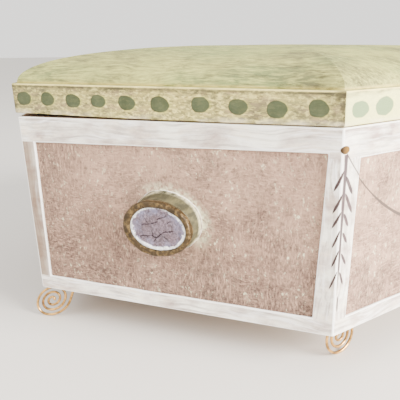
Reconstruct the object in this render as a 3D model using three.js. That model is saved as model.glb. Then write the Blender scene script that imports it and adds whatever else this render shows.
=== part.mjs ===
// Hexagonal wooden keepsake box: panelled walls, wire spiral feet, a stone knob and a domed lid.
// Millimetres, +Z up. The feet stand on z = 0, and the knob faces -Y.
import * as THREE from 'three';

// Box body
const bodySide = 160;
const bodyHeight = 91;
const wallThickness = 6;
const floorThickness = 5;

// Flat white strips that frame each wall. Each pair is a strip's width at its two ends:
// foot and head for a stile, left and right for a rail. The strips were laid by eye, so they taper.
const stripThickness = 1;
const plainStrips = { left: [6.6, 6.6], right: [6.6, 6.6], bottom: [7.6, 7.6], top: [11.6, 11.6] };
const frontStrips = { left: [6.4, 7.7], right: [9.5, 5.7], bottom: [7.6, 7.6], top: [12.3, 10.1] };
const sideStrips = { left: [7.7, 11], right: [9.4, 9.4], bottom: [7.8, 6.8], top: [12.9, 12.9] };

// Lid
const lidOverhang = 0.8;
const rimHeight = 13.6;
const domeRise = 17.2;
const domeLedge = 2.4;
const domeThickness = 4;
const lipThickness = 4;
const lipDrop = 5;
const lipClearance = 0.8;

// Knob: an oval drum that carries a stone in a rounded bezel and flares a little towards the wall
const knobCentreHeight = 45.5;
const knobReach = 12.8;
const bezelHalfLength = 17.4;
const bezelHalfHeight = 13.1;
const drumFlareLength = 0.4;
const drumFlareHeight = 1.4;
const bezelRim = 3.3;
const bezelDepth = 4;
const bezelRound = 0.8;
const stoneRecess = 0.6;
const stoneCrown = 0.9;

// Wire spiral feet
const wireDiameter = 1.2;
const spiralStartRadius = 0.8;
const spiralPitch = 2.65;
const spiralTurns = 3.5;
const footInset = 13.6;
const footTurn = THREE.MathUtils.degToRad(135);
const frontLeftInset = 4.5;
const frontRightSetback = 18.7;
const frontRightTurn = THREE.MathUtils.degToRad(122);

// Gap between pieces that touch
const touch = 0.3;

// Mesh fineness
const knobSegments = 32;
const domeSteps = 11;
const wireSides = 8;
const wireSteps = 72;

const sides = 6;
const turnPerSide = (2 * Math.PI) / sides;
const halfTurn = turnPerSide / 2;
const bodyApothem = bodySide / (2 * Math.tan(halfTurn));
const panelApothem = bodyApothem - stripThickness;
const wallApothem = panelApothem - touch;
const innerApothem = wallApothem - wallThickness;
const lidApothem = bodyApothem + lidOverhang;
const lipApothem = innerApothem - lipClearance;
const rimThickness = lidApothem - lipApothem - touch;

const faceNames = ['front', 'right_front', 'right_back', 'back', 'left_back', 'left_front'];
const stripsOn = { front: frontStrips, right_front: sideStrips };

const group = new THREE.Group();
group.name = 'keepsake_box';

function material(color, roughness, metalness = 0) {
  return new THREE.MeshStandardMaterial({ color, roughness, metalness });
}

function addPiece(name, geometry, look, place = {}) {
  const mesh = new THREE.Mesh(geometry, look);
  mesh.name = name;
  mesh.position.set(place.x ?? 0, place.y ?? 0, place.z ?? 0);
  mesh.rotation.z = place.turn ?? 0;
  group.add(mesh);
  return mesh;
}

// Half the length of a front board's edge at a distance from the middle, less half the mitre gap
function mitreHalf(apothem) {
  return apothem * Math.tan(halfTurn) - touch / (2 * Math.cos(halfTurn));
}

function prism(points, height) {
  const outline = new THREE.Shape(points.map(([x, y]) => new THREE.Vector2(x, y)));
  return new THREE.ExtrudeGeometry(outline, { depth: height, bevelEnabled: false });
}

// A board along the front side, mitred to its neighbours at both ends
function mitredBoard(apothem, thickness, height) {
  const outer = mitreHalf(apothem);
  const inner = mitreHalf(apothem - thickness);
  const back = thickness - apothem;
  return prism([[-outer, -apothem], [outer, -apothem], [inner, back], [-inner, back]], height);
}

// Skin over a row of rings with as many points each. The row's ends are capped, or joined.
function skin(rings, joined = false) {
  const count = rings[0].length;
  const positions = rings.flat().flatMap((p) => [p.x, p.y, p.z]);
  const faces = [];
  const spans = joined ? rings.length : rings.length - 1;
  for (let row = 0; row < spans; row += 1) {
    const low = row * count;
    const high = ((row + 1) % rings.length) * count;
    for (let i = 0; i < count; i += 1) {
      const next = (i + 1) % count;
      faces.push(low + i, low + next, high + next);
      faces.push(low + i, high + next, high + i);
    }
  }
  if (!joined) {
    const lastRow = (rings.length - 1) * count;
    for (let i = 1; i < count - 1; i += 1) {
      faces.push(0, i + 1, i);
      faces.push(lastRow, lastRow + i, lastRow + i + 1);
    }
  }
  const geometry = new THREE.BufferGeometry();
  geometry.setAttribute('position', new THREE.Float32BufferAttribute(positions, 3));
  geometry.setIndex(faces);
  geometry.computeVertexNormals();
  return geometry;
}

// Width of a tapering strip at a place along the front side
function widthAt([left, right], x) {
  return left + (right - left) * (x / bodySide + 0.5);
}

function flatFaced(geometry) {
  const flat = geometry.toNonIndexed();
  flat.computeVertexNormals();
  return flat;
}

// A strip along the front side between two edges, each given as a height at a place along it
function rail(lowEdge, highEdge) {
  const [front, back] = [-bodyApothem, stripThickness - bodyApothem];
  const ends = [-1, 1].map((hand) => {
    const outer = hand * mitreHalf(bodyApothem);
    const inner = hand * mitreHalf(panelApothem);
    return [
      new THREE.Vector3(outer, front, lowEdge(outer)),
      new THREE.Vector3(inner, back, lowEdge(inner)),
      new THREE.Vector3(inner, back, highEdge(inner)),
      new THREE.Vector3(outer, front, highEdge(outer)),
    ];
  });
  return flatFaced(skin(ends));
}

// An upright strip at one end of the front side; hand is -1 for the left end and 1 for the right
function stile(hand, [footWidth, headWidth], lowEdge, highEdge) {
  const [front, back] = [-bodyApothem, stripThickness - bodyApothem];
  const outer = hand * mitreHalf(bodyApothem);
  const inner = hand * mitreHalf(panelApothem);
  const rings = [[footWidth, lowEdge], [headWidth, highEdge]].map(([width, edge]) => {
    const free = outer - hand * width;
    const point = (x, y) => new THREE.Vector3(x, y, edge(x));
    const ring = [point(free, front), point(outer, front), point(inner, back), point(free, back)];
    return hand > 0 ? ring : ring.reverse();
  });
  return flatFaced(skin(rings));
}

// Wire foot: a flat spiral in the local XZ plane whose outer end runs straight up to the floor
class SpiralFoot extends THREE.Curve {
  constructor() {
    super();
    this.endRadius = spiralStartRadius + spiralPitch * spiralTurns;
    this.stemHeight = SpiralFoot.topRadius() + wireDiameter / 2;
    const meanRadius = (spiralStartRadius + this.endRadius) / 2;
    const coilLength = 2 * Math.PI * spiralTurns * meanRadius;
    this.coilShare = coilLength / (coilLength + this.stemHeight);
  }

  // Radius of the highest full loop, three quarters of a turn before the outer end
  static topRadius() {
    return spiralStartRadius + spiralPitch * (spiralTurns - 0.75);
  }

  getPoint(t, target = new THREE.Vector3()) {
    if (t > this.coilShare) {
      const climbed = (t - this.coilShare) / (1 - this.coilShare);
      return target.set(this.endRadius, 0, climbed * this.stemHeight);
    }
    const turned = spiralTurns * Math.sqrt(t / this.coilShare);
    const radius = spiralStartRadius + spiralPitch * turned;
    const angle = 2 * Math.PI * (turned - spiralTurns);
    return target.set(radius * Math.cos(angle), 0, radius * Math.sin(angle));
  }
}

function footGeometry() {
  const section = new THREE.Shape();
  for (let i = 0; i < wireSides; i += 1) {
    const angle = (2 * Math.PI * (i + 0.5)) / wireSides;
    const x = (wireDiameter / 2) * Math.cos(angle);
    const y = (wireDiameter / 2) * Math.sin(angle);
    if (i === 0) section.moveTo(x, y);
    else section.lineTo(x, y);
  }
  const path = { steps: wireSteps, extrudePath: new SpiralFoot() };
  const geometry = new THREE.ExtrudeGeometry(section, path);
  geometry.computeBoundingBox();
  return geometry;
}

const foot = footGeometry();
const footCentreHeight = -foot.boundingBox.min.z;
const footHeight = footCentreHeight + foot.boundingBox.max.z + touch;
const bodyTop = footHeight + bodyHeight;

function addBody() {
  const whiteWood = material('#e6e1da', 0.75);
  const mauveWood = material('#b7a097', 0.85);
  faceNames.forEach((face, side) => {
    const place = { z: footHeight, turn: side * turnPerSide };
    const strips = stripsOn[face] ?? plainStrips;
    const bottomEdge = (x) => widthAt(strips.bottom, x);
    const topEdge = (x) => bodyHeight - widthAt(strips.top, x);
    const aboveBottom = (x) => bottomEdge(x) + touch;
    const belowTop = (x) => topEdge(x) - touch;
    const wall = mitredBoard(wallApothem, wallThickness, bodyHeight);
    addPiece(`wall_${face}`, wall, mauveWood.clone(), place);
    const topRail = rail(topEdge, () => bodyHeight);
    addPiece(`top_rail_${face}`, topRail, whiteWood.clone(), place);
    const bottomRail = rail(() => 0, bottomEdge);
    addPiece(`bottom_rail_${face}`, bottomRail, whiteWood.clone(), place);
    const leftStile = stile(-1, strips.left, aboveBottom, belowTop);
    addPiece(`left_stile_${face}`, leftStile, whiteWood.clone(), place);
    const rightStile = stile(1, strips.right, aboveBottom, belowTop);
    addPiece(`right_stile_${face}`, rightStile, whiteWood.clone(), place);
  });
  const floorApothem = innerApothem - touch;
  const outline = hexagonRing(floorApothem, 0).map((p) => [p.x, p.y]);
  addPiece('floor', prism(outline, floorThickness), mauveWood.clone(), { z: footHeight });
}

// Six corners at one height, counterclockwise from above, starting at the +X corner
function hexagonRing(apothem, z) {
  const radius = apothem / Math.cos(halfTurn);
  return Array.from({ length: sides }, (_, i) => {
    const angle = i * turnPerSide;
    return new THREE.Vector3(radius * Math.cos(angle), radius * Math.sin(angle), z);
  });
}

// A foot stands near each corner, roughly in line with the wall that follows it. The two front feet
// keep the places they have in the photograph, and the others share one inset.
function addFeet() {
  const brass = material('#b98d4f', 0.35, 1);
  const cornerRadius = bodyApothem / Math.cos(halfTurn);
  const cornerNames = ['right', 'back_right', 'back_left', 'left', 'front_left', 'front_right'];
  cornerNames.forEach((corner, index) => {
    const angle = index * turnPerSide;
    const insets = { front_left: frontLeftInset, front_right: 0 };
    const reach = cornerRadius - (insets[corner] ?? footInset);
    const atFrontRight = corner === 'front_right';
    const x = reach * Math.cos(angle);
    const y = reach * Math.sin(angle) + (atFrontRight ? frontRightSetback : 0);
    const turn = angle + (atFrontRight ? frontRightTurn : footTurn);
    addPiece(`foot_${corner}`, foot.clone(), brass.clone(), { x, y, z: footCentreHeight, turn });
  });
}

// Oval in the plane of the front wall, counterclockwise seen from the front
function ovalRing(halfLength, halfHeight, y) {
  return Array.from({ length: knobSegments }, (_, i) => {
    const angle = (2 * Math.PI * i) / knobSegments;
    return new THREE.Vector3(halfLength * Math.cos(angle), y, halfHeight * Math.sin(angle));
  });
}

function addKnob() {
  const gilt = material('#7d6236', 0.5, 0.6);
  const olive = material('#9a9377', 0.6, 0.2);
  const druse = material('#a99aa8', 0.4);
  const place = { y: -panelApothem, z: footHeight + knobCentreHeight };
  const drumFront = knobReach - bezelDepth - touch;
  const drum = skin([
    ovalRing(bezelHalfLength + drumFlareLength, bezelHalfHeight + drumFlareHeight, 0),
    ovalRing(bezelHalfLength - bezelRound, bezelHalfHeight - bezelRound, -drumFront),
  ]);
  addPiece('knob_drum', drum, olive, place);

  const bezelBack = knobReach - bezelDepth;
  const innerLength = bezelHalfLength - bezelRim;
  const innerHeight = bezelHalfHeight - bezelRim;
  const bezel = skin([
    ovalRing(innerLength, innerHeight, -bezelBack),
    ovalRing(bezelHalfLength - bezelRound, bezelHalfHeight - bezelRound, -bezelBack),
    ovalRing(bezelHalfLength, bezelHalfHeight, -bezelBack - bezelRound),
    ovalRing(bezelHalfLength, bezelHalfHeight, bezelRound - knobReach),
    ovalRing(bezelHalfLength - bezelRound, bezelHalfHeight - bezelRound, -knobReach),
    ovalRing(innerLength + bezelRound, innerHeight + bezelRound, -knobReach),
    ovalRing(innerLength, innerHeight, bezelRound - knobReach),
  ], true);
  addPiece('knob_bezel', bezel, gilt, place);

  const stoneLength = innerLength - touch;
  const stoneHeight = innerHeight - touch;
  const stoneEdge = knobReach - stoneRecess - stoneCrown;
  const stone = skin([
    ovalRing(stoneLength, stoneHeight, -bezelBack),
    ovalRing(stoneLength, stoneHeight, -stoneEdge),
    ovalRing(stoneLength - stoneCrown, stoneHeight - stoneCrown, stoneRecess - knobReach),
  ]);
  addPiece('knob_stone', stone, druse, place);
}

// Dome curve: how far in and how high each ring of the coved top lies
function domeRings(apothem, rise, base) {
  return Array.from({ length: domeSteps }, (_, i) => {
    const angle = (i / domeSteps) * (Math.PI / 2);
    const share = Math.cos(angle) ** 0.68;
    return hexagonRing(apothem * share, base + rise * Math.sin(angle) ** 0.9);
  });
}

function addLid() {
  const sage = material('#9da183', 0.8);
  const creamGreen = material('#bdb79a', 0.8);
  const rimBase = bodyTop + touch;
  const lipTop = rimBase + rimHeight;
  faceNames.forEach((face, side) => {
    const turn = side * turnPerSide;
    const rim = mitredBoard(lidApothem, rimThickness, rimHeight);
    addPiece(`lid_rim_${face}`, rim, creamGreen.clone(), { z: rimBase, turn });
    const lip = mitredBoard(lipApothem, lipThickness, lipTop - bodyTop + lipDrop);
    addPiece(`lid_lip_${face}`, lip, creamGreen.clone(), { z: bodyTop - lipDrop, turn });
  });
  const domeBase = rimBase + rimHeight + touch;
  const domeApothem = lidApothem - domeLedge;
  const outer = domeRings(domeApothem, domeRise, domeBase);
  const inner = domeRings(domeApothem - domeThickness, domeRise - domeThickness, domeBase);
  addPiece('lid_dome', skin([...inner.reverse(), ...outer]), sage);
}

addBody();
addFeet();
addKnob();
addLid();

// The origin lies under the middle of the overall box, from the knob to the lid's back edge
group.position.y = (panelApothem + knobReach - lidApothem) / 2;

export default group;
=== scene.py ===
# Painted hexagonal keepsake box with a domed lid, a stone knob and wire spiral feet
import math

import bmesh
import bpy
from mathutils import Matrix, Vector, noise


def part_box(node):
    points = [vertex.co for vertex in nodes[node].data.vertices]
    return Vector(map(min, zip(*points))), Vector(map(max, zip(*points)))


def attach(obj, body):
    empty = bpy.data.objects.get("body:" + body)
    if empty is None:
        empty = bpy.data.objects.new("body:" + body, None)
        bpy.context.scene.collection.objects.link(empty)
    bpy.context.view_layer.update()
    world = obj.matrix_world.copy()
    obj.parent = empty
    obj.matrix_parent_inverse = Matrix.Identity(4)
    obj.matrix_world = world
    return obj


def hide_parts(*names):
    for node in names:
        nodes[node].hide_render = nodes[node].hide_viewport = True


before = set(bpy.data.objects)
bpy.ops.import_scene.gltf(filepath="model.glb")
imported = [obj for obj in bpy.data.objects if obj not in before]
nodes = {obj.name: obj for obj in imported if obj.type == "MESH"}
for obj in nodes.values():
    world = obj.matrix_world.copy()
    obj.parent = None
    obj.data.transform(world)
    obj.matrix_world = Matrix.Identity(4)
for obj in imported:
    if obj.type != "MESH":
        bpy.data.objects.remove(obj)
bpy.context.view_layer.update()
print("frame loaded:", len(nodes), "nodes")

faceNames = ["front", "right_front", "right_back", "back", "left_back", "left_front"]
sixth = math.radians(60)
mm = 0.001
# The noise is the same in every run
noise.seed_set(4)

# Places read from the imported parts, in metres
floorLow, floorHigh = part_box("floor")
middle = Vector((0, (floorLow.y + floorHigh.y) / 2, 0))
wallLow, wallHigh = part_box("wall_front")
stripApothem = middle.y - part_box("top_rail_front")[0].y
wallFaceY = wallLow.y
wallApothem = middle.y - wallFaceY
rimLow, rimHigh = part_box("lid_rim_front")
lidApothem = middle.y - rimLow.y
domeLow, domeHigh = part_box("lid_dome")
domeApothem = middle.y - domeLow.y
cornerX = stripApothem * math.tan(sixth / 2)
rimHalf = lidApothem * math.tan(sixth / 2)
rimTall = rimHigh.z - rimLow.z


def sideMatrix(index, apothem):
    # local x runs along the side, local y points inwards
    turn = Matrix.Rotation(index * sixth, 4, "Z")
    return Matrix.Translation(middle) @ turn @ Matrix.Translation((0, -apothem, 0))


def paint(red, green, blue):
    # a tone as a paint card gives it, 0 to 255, turned into linear light
    def linear(value):
        share = value / 255
        return share / 12.92 if share <= 0.04045 else ((share + 0.055) / 1.055) ** 2.4
    return (linear(red), linear(green), linear(blue), 1.0)


# The material that the helpers below add their nodes to
current = {}


def newMaterial(name, roughness, metallic=0.0, gloss=0.5):
    material = bpy.data.materials.new(name)
    material.use_nodes = True
    current["tree"] = material.node_tree
    current["shader"] = material.node_tree.nodes["Principled BSDF"]
    inputs = current["shader"].inputs
    inputs["Roughness"].default_value = roughness
    inputs["Metallic"].default_value = metallic
    inputs["Specular IOR Level"].default_value = gloss
    return material, makeNode("TexCoord").outputs["Object"]


def makeNode(kind, inputs=None, **settings):
    tree = current["tree"]
    made = tree.nodes.new("ShaderNode" + kind)
    for name, value in settings.items():
        setattr(made, name, value)
    for key, value in (inputs or {}).items():
        if isinstance(value, bpy.types.NodeSocket):
            tree.links.new(value, made.inputs[key])
        else:
            made.inputs[key].default_value = value
    return made


def feed(name, value):
    current["tree"].links.new(value, current["shader"].inputs[name])


def calc(operation, first, second=0.0, third=0.0):
    return makeNode("Math", {0: first, 1: second, 2: third}, operation=operation).outputs[0]


def times(first, second):
    return calc("MULTIPLY", first, second)


def plus(first, second):
    return calc("ADD", first, second)


def minus(first, second):
    return calc("SUBTRACT", first, second)


def larger(first, second):
    return calc("MAXIMUM", first, second)


def vectorCalc(operation, first, second):
    return makeNode("VectorMath", {0: first, 1: second}, operation=operation).outputs[0]


def scaleVector(vector, amount):
    return makeNode("VectorMath", {0: vector, "Scale": amount}, operation="SCALE").outputs[0]


def lengthOf(vector):
    return makeNode("VectorMath", {0: vector}, operation="LENGTH").outputs["Value"]


def split(vector):
    return makeNode("SeparateXYZ", {0: vector}).outputs


def spread(value, low, high, newLow=0.0, newHigh=1.0):
    inputs = {"Value": value, "From Min": low, "From Max": high, "To Min": newLow, "To Max": newHigh}
    return makeNode("MapRange", inputs).outputs[0]


def cloud(point, cells, low, high, detail=4.0, roughness=0.6, turn=(0, 0, 0)):
    # soft noise as a mask that rises from 0 at low to 1 at high; cells is how many fit in a metre, as one
    # number or as three for x, y and z
    scale = cells if isinstance(cells, tuple) else (cells, cells, cells)
    placed = makeNode("Mapping", {"Vector": point, "Rotation": turn, "Scale": scale}).outputs[0]
    inputs = {"Vector": placed, "Scale": 1.0, "Detail": detail, "Roughness": roughness}
    return spread(makeNode("TexNoise", inputs).outputs["Fac"], low, high)


def clouds(point, table):
    return {name: cloud(point, *values) for name, values in table.items()}


def mix(factor, first, second):
    # blends two values or tones; a tone is a socket or the three numbers of a paint card
    def ready(tone):
        return paint(*tone) if isinstance(tone, tuple) else tone
    inputs = {0: factor, 6: ready(first), 7: ready(second)}
    return makeNode("Mix", inputs, data_type="RGBA").outputs[2]


def coat(color, mask, cover, tone):
    return mix(times(mask, cover), color, tone)


def coats(color, masks, table):
    # lays one coat after another; the table gives each mask's cover and tone
    for name, (cover, tone) in table.items():
        color = coat(color, masks[name], cover, tone)
    return color


def layered(masks, look):
    # a ground of two tones in patches, under its coats
    return coats(mix(masks["patches"], *look["ground"]), masks, look["coats"])


def dullness(mask, low, high):
    feed("Roughness", spread(mask, 0, 1, low, high))


def roughen(height, depth, strength):
    bump = makeNode("Bump", {"Strength": strength, "Distance": depth, "Height": height})
    feed("Normal", bump.outputs[0])


def placeAt(point, place, size, turn=(0, 0, 0)):
    # the point seen from a place, in units of size
    inputs = {"Vector": point, "Location": place, "Rotation": turn, "Scale": size}
    return makeNode("Mapping", inputs, vector_type="TEXTURE").outputs[0]


def sidePoint(point, index):
    # the point seen by side number index: x along it from its middle, z above the body's underside
    turn = -index * sixth
    shift = Matrix.Rotation(turn, 3, "Z") @ -middle
    shift.z -= wallLow.z
    return makeNode("Mapping", {"Vector": point, "Rotation": (0, 0, turn), "Location": shift}).outputs[0]


def onSide(local, apothem):
    # 1 on the outer face of the side, 0 on the rest of the box
    return calc("LESS_THAN", split(local)[1], -apothem + 4 * mm)


def bendPoint(point, cells, amount):
    # the point pushed about by soft noise, so that strokes wander
    shake = makeNode("TexNoise", {"Vector": point, "Scale": cells, "Detail": 2.0})
    return vectorCalc("ADD", point, scaleVector(shake.outputs["Color"], amount))


def strokeField(local, stroke):
    # below 1 inside a brush stroke with tapering ends from its top to its tip
    topX, topZ, tipX, tipZ, width = stroke
    half = math.hypot(tipX - topX, tipZ - topZ) / 2 * mm
    place = ((topX + tipX) / 2 * mm, 0, (topZ + tipZ) / 2 * mm)
    lean = -math.atan2(tipZ - topZ, tipX - topX)
    seen = split(placeAt(local, place, (half, 1, width / 2 * mm), (0, lean, 0)))
    along = times(seen[0], seen[0])
    return calc("MULTIPLY_ADD", along, along, calc("ABSOLUTE", seen[2]))


def nearestStroke(local, strokes):
    fields = [strokeField(local, stroke) for stroke in strokes]
    nearest = fields[0]
    for field in fields[1:]:
        nearest = calc("MINIMUM", nearest, field)
    return nearest


# Painted cord, in millimetres: its lowest point above the body's underside, how it curves, its half widths
garland = {"low": 39.7, "curve": 0.00605, "sixth": 2.2e-11, "thin": 0.3, "thick": 0.62, "edge": 0.2}


def garlandMask(point, apothem):
    # thin painted cord that hangs between the two upper corners of the right front side
    local = sidePoint(point, 1)
    seen = split(local)
    along = times(seen[0], 1 / mm)
    height = times(seen[2], 1 / mm)
    squared = times(along, along)
    curve = calc("MULTIPLY_ADD", squared, garland["curve"], garland["low"])
    steep = times(times(times(squared, squared), squared), garland["sixth"])
    curve = plus(curve, steep)
    slope = times(along, 2 * garland["curve"])
    stretch = calc("SQRT", calc("MULTIPLY_ADD", slope, slope, 1.0))
    away = calc("DIVIDE", calc("ABSOLUTE", minus(height, curve)), stretch)
    half = spread(calc("ABSOLUTE", along), 62.0, 48.0, garland["thin"], garland["thick"])
    wobble = cloud(point, 90, 0.3, 0.7)
    half = times(half, calc("MULTIPLY_ADD", wobble, 0.5, 0.75))
    line = spread(minus(away, half), garland["edge"], -garland["edge"] / 2)
    hung = calc("LESS_THAN", calc("ABSOLUTE", along), cornerX / mm - vine["dot"][0])
    return times(times(line, hung), onSide(local, apothem))


# Vine and dot at a corner, in millimetres: to the right of the box's corner, above the body's underside.
# A leaf runs from its start to its tip.
vine = {
    "dot": (1.4, 82.4),
    "dotHalf": (2.6, 1.7),
    "stemTop": (2.2, 79.0),
    "stemFoot": (1.0, 20.0),
    "stemWidths": (1.0, 0.4),
    "stemFade": 12,
    "darkWidth": 1.35,
    "darkLeaves": [
        (1.3, 74.4, -3.0, 65.6), (1.2, 64.9, -3.0, 56.4), (1.0, 57.5, -3.0, 50.1), (0.8, 49.6, -2.5, 41.5),
        (0.8, 40.9, -2.3, 32.9), (0.5, 31.4, -2.9, 22.6), (1.5, 19.6, 1.7, 11.5),
    ],
    "paleWidth": 1.9,
    "paleLeaves": [
        (2.6, 72.0, 7.2, 63.6), (2.8, 64.9, 7.5, 55.7), (2.6, 56.4, 5.6, 50.2),
        (2.5, 48.2, 5.4, 43.0), (2.3, 39.0, 5.5, 33.2), (1.9, 30.7, 4.4, 24.2),
    ],
    "narrowing": 0.06,
}


def cornerPoint(point, index):
    # unfolds the corner at the left end of side number index: x is the distance to the right of it along
    # the faces, z the height above the body's underside; the second value is 1 on those two sides' faces
    leftLocal = sidePoint(point, index - 1)
    rightLocal = sidePoint(point, index)
    right = split(rightLocal)
    before = minus(split(leftLocal)[0], cornerX)
    after = plus(right[0], cornerX)
    beyond = calc("GREATER_THAN", after, 0.0)
    x = plus(times(after, beyond), times(before, minus(1.0, beyond)))
    unfolded = makeNode("CombineXYZ", {0: x, 2: right[2]}).outputs[0]
    return unfolded, larger(onSide(leftLocal, stripApothem), onSide(rightLocal, stripApothem))


def leafMask(unfolded, leaves, width):
    strokes = [(*leaf, width * (1 - vine["narrowing"] * number)) for number, leaf in enumerate(leaves)]
    return spread(nearestStroke(unfolded, strokes), 1.12, 0.78)


def stemMask(unfolded):
    seen = split(unfolded)
    height = seen[2]
    (topX, topZ), (footX, footZ) = vine["stemTop"], vine["stemFoot"]
    topHalf, footHalf = vine["stemWidths"]
    centre = spread(height, footZ * mm, topZ * mm, footX * mm, topX * mm)
    half = spread(height, footZ * mm, topZ * mm, footHalf * mm, topHalf * mm)
    away = calc("ABSOLUTE", minus(seen[0], centre))
    line = spread(calc("DIVIDE", away, half), 1.3, 0.8)
    under = calc("LESS_THAN", height, (topZ + 1.5) * mm)
    above = spread(height, footZ * mm, (footZ + vine["stemFade"]) * mm, 0.25, 1.0)
    ends = times(under, calc("GREATER_THAN", height, footZ * mm))
    return times(times(line, above), ends)


def cornerDot(unfolded):
    (dotX, dotZ), (wide, tall) = vine["dot"], vine["dotHalf"]
    away = lengthOf(placeAt(unfolded, (dotX * mm, 0, dotZ * mm), (wide * mm, 1, tall * mm)))
    return spread(away, 1.05, 0.9)


# In each look below, a mask has the values that cloud takes after its point, a coat its cover and tone
mauveLook = {
    "masks": {
        "patches": (36, 0.36, 0.64, 7),
        "greys": ((26, 26, 30), 0.44, 0.66, 6),
        "clouds": ((70, 70, 90), 0.44, 0.68, 8, 0.75),
        "uneven": ((30, 30, 40), 0.35, 0.6, 6),
        "upright": ((1300, 1300, 300), 0.46, 0.68, 4),
        "level": ((320, 320, 1300), 0.46, 0.68, 4),
        "leaning": ((900, 900, 420), 0.5, 0.72, 4, 0.6, (0.5, 0.6, 0.2)),
        "flecks": ((620, 620, 420), 0.6, 0.7, 3, 0.6, (0.2, 0.5, 0.1)),
        "specks": (560, 0.56, 0.7, 4),
        "ragged": (420, 0.4, 0.62, 4),
    },
    "ground": ((82, 65, 59), (112, 87, 77)),
    "coats": {
        "greys": (0.6, (105, 89, 77)),
        "clouds": (0.62, (200, 164, 139)),
        # upper is painted light, paler towards the top; thick is painted shade, darker at the front's left
        # and foot
        "upper": (0.4, (200, 164, 139)),
        "thick": (0.68, (82, 65, 59)),
    },
    "pale": (200, 164, 139),
    "fleck": (243, 243, 202),
    "dark": (67, 53, 50),
    "cord": (84, 72, 66),
    "brushed": 0.72,
    "halo": (19, 15.5),
    "haloShift": 1.5,
}


def mauvePaint():
    # taupe milk paint, dry-brushed with white in short strokes that cross and wander
    look = mauveLook
    material, point = newMaterial("mauvePaint", 0.8, gloss=0.15)
    bent = bendPoint(point, 34.0, 0.007)
    masks = clouds(bent, look["masks"])
    front = sidePoint(point, 0)
    seen = split(front)
    onFront = onSide(front, wallApothem)
    # painted light: paler patches towards the top of each side
    masks["upper"] = times(spread(seen[2], 15 * mm, 80 * mm), masks["uneven"])
    # painted shade: the front is darker towards its left and along its foot
    thick = larger(spread(seen[0], -35 * mm, -75 * mm), spread(seen[2], 45 * mm, 5 * mm))
    masks["thick"] = times(thick, onFront)
    color = layered(masks, look)
    where = cloud(point, 30, 0.42, 0.58, 3)
    upright = times(masks["upright"], calc("MULTIPLY_ADD", where, 0.6, 0.4))
    level = times(masks["level"], calc("MULTIPLY_ADD", where, -0.6, 1.0))
    strokes = larger(upright, level)
    brushed = times(larger(strokes, masks["leaning"]), look["brushed"])
    color = mix(brushed, color, look["pale"])
    flecks = times(masks["flecks"], spread(masks["clouds"], 0.1, 0.7, 0.15, 0.8))
    color = mix(flecks, color, look["fleck"])
    color = coat(color, masks["specks"], 0.6, look["dark"])
    # paler strokes where the brush went round the knob's upper right
    knobLow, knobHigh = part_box("knob_drum")
    shift = look["haloShift"] * mm
    place = (knobLow + knobHigh) / 2 + Vector((shift, 0, shift))
    ring = placeAt(bent, place, (look["halo"][0] * mm, 1, look["halo"][1] * mm))
    seen = split(ring)
    upperRight = spread(plus(seen[0], seen[2]), 0.1, 1.0)
    halo = times(times(spread(lengthOf(ring), 1.32, 1.0), upperRight), onFront)
    color = coat(color, halo, masks["ragged"], look["fleck"])
    color = coat(color, garlandMask(point, wallApothem), 0.97, look["cord"])
    feed("Base Color", color)
    dullness(strokes, 0.86, 0.7)
    roughen(plus(brushed, flecks), 0.12 * mm, 0.6)
    return material


whiteLook = {
    "masks": {
        "level": ((44, 44, 760), 0.46, 0.68, 5),
        "upright": ((700, 700, 40), 0.46, 0.68, 5),
        "patches": ((48, 48, 90), 0.4, 0.64, 6),
        "cream": ((60, 60, 200), 0.5, 0.7, 6, 0.6, (0.3, 0.1, 0)),
        "brightLevel": ((50, 50, 560), 0.52, 0.7, 5),
        "brightUpright": ((520, 520, 44), 0.52, 0.7, 5),
    },
    "ground": ((248, 245, 232), (176, 156, 148)),
    "coats": {
        "streaks": (0.75, (140, 126, 120)),
        "cream": (0.7, (240, 226, 204)),
        "bright": (0.9, (250, 248, 246)),
        # brown is painted shade on the stile at the front's left
        "brown": (0.8, (120, 95, 74)),
    },
    # near-pure white of the painted highlight on the softened edges
    "paintedHighlight": (255, 254, 250),
    "cord": (96, 84, 80),
    "stem": (69, 55, 59),
    # paleLeaf is a little paler than darkLeaf: painted light on the leaves right of the corner
    "paleLeaf": ((62, 50, 53), (84, 67, 69)),
    "darkLeaf": ((57, 45, 45), (75, 61, 60)),
    # the gold dot's tones left and right of the corner: painted shade and painted light
    "gold": ((54, 37, 16), (111, 80, 25)),
}


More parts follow.
